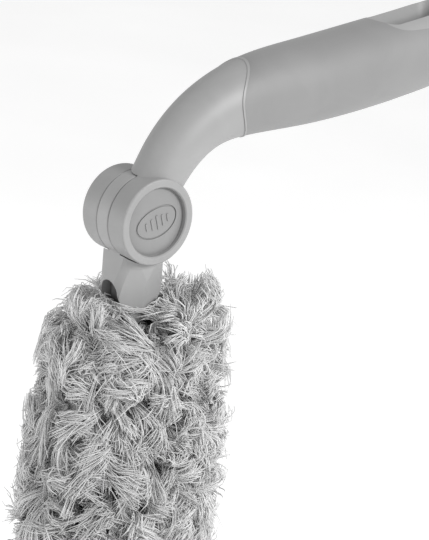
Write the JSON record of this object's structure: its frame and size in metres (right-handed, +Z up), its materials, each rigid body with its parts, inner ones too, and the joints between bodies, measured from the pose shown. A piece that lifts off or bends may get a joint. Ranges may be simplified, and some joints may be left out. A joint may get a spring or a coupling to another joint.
{
  "type": "hand duster",
  "caption": "Hand duster with a bent rubber-gripped handle, a push-button locking swivel hub and a flat frame in a removable fluffy microfibre sleeve.",
  "frame": {"origin": "middle of the hanging slot in the handle", "axes": "+Z up as the head hangs, +X from the swivel hub along the handle, -Y the push button's side"},
  "size_m": [0.2332, 0.08, 0.2965],
  "materials": {
    "light_plastic": "fine satin moulded plastic, light grey",
    "grip_rubber": "soft matt thermoplastic rubber, mid grey",
    "button_plastic": "fine matt moulded plastic, mid grey",
    "white_plastic": "natural acetal, satin",
    "dark_plastic": "matt dark grey moulded plastic",
    "steel": "zinc plated steel",
    "knit_backing": "knitted polyester",
    "elastic": "flat woven elastic",
    "microfibre_pile": "loose cut microfibre strands, matt with a soft sheen"
  },
  "bodies": {
    "handle": {"handle_core": "light_plastic", "soft_grip": "grip_rubber", "button_bezel": "light_plastic", "thrust_washer": "white_plastic", "rear_cap": "light_plastic", "screw_washer": "steel", "pivot_screw": "steel", "return_spring": "steel"},
    "button": {"push_button": "button_plastic"},
    "head": {"yoke": "light_plastic", "yoke_screws": "steel", "frame_front": "dark_plastic", "frame_rear": "dark_plastic", "frame_strip": "steel", "frame_screws": "steel"},
    "gear": {"lock_gear": "white_plastic", "spring_seat": "steel"},
    "sleeve": {"sleeve_backing": "knit_backing", "sleeve_cuff": "knit_backing", "cuff_elastic": "elastic", "sleeve_pile": "microfibre_pile"}
  },
  "joints": [
    {"name": "head_swivel", "type": "hinge", "parent": "handle", "child": "head", "pos_m": [-0.146, 0, -0.0597], "axis": [0, 1, 0], "range_deg": [-60, 120]},
    {"name": "button_press", "type": "slide", "parent": "handle", "child": "button", "axis": [0, 1, 0], "range_m": [0, 0.0028], "stiffness_N_per_m": 1500, "springref_m": -0.002, "deforming": ["return_spring"]},
    {"name": "gear_slide", "type": "slide", "parent": "head", "child": "gear", "axis": [0, 1, 0], "range_m": [0, 0.0028]},
    {"name": "sleeve_pull", "type": "slide", "parent": "head", "child": "sleeve", "axis": [0, 0, -1], "range_m": [0, 0.15]}
  ],
  "couplings": [
    {"joint": "gear_slide", "follows": "button_press", "ratio": 1}
  ]
}
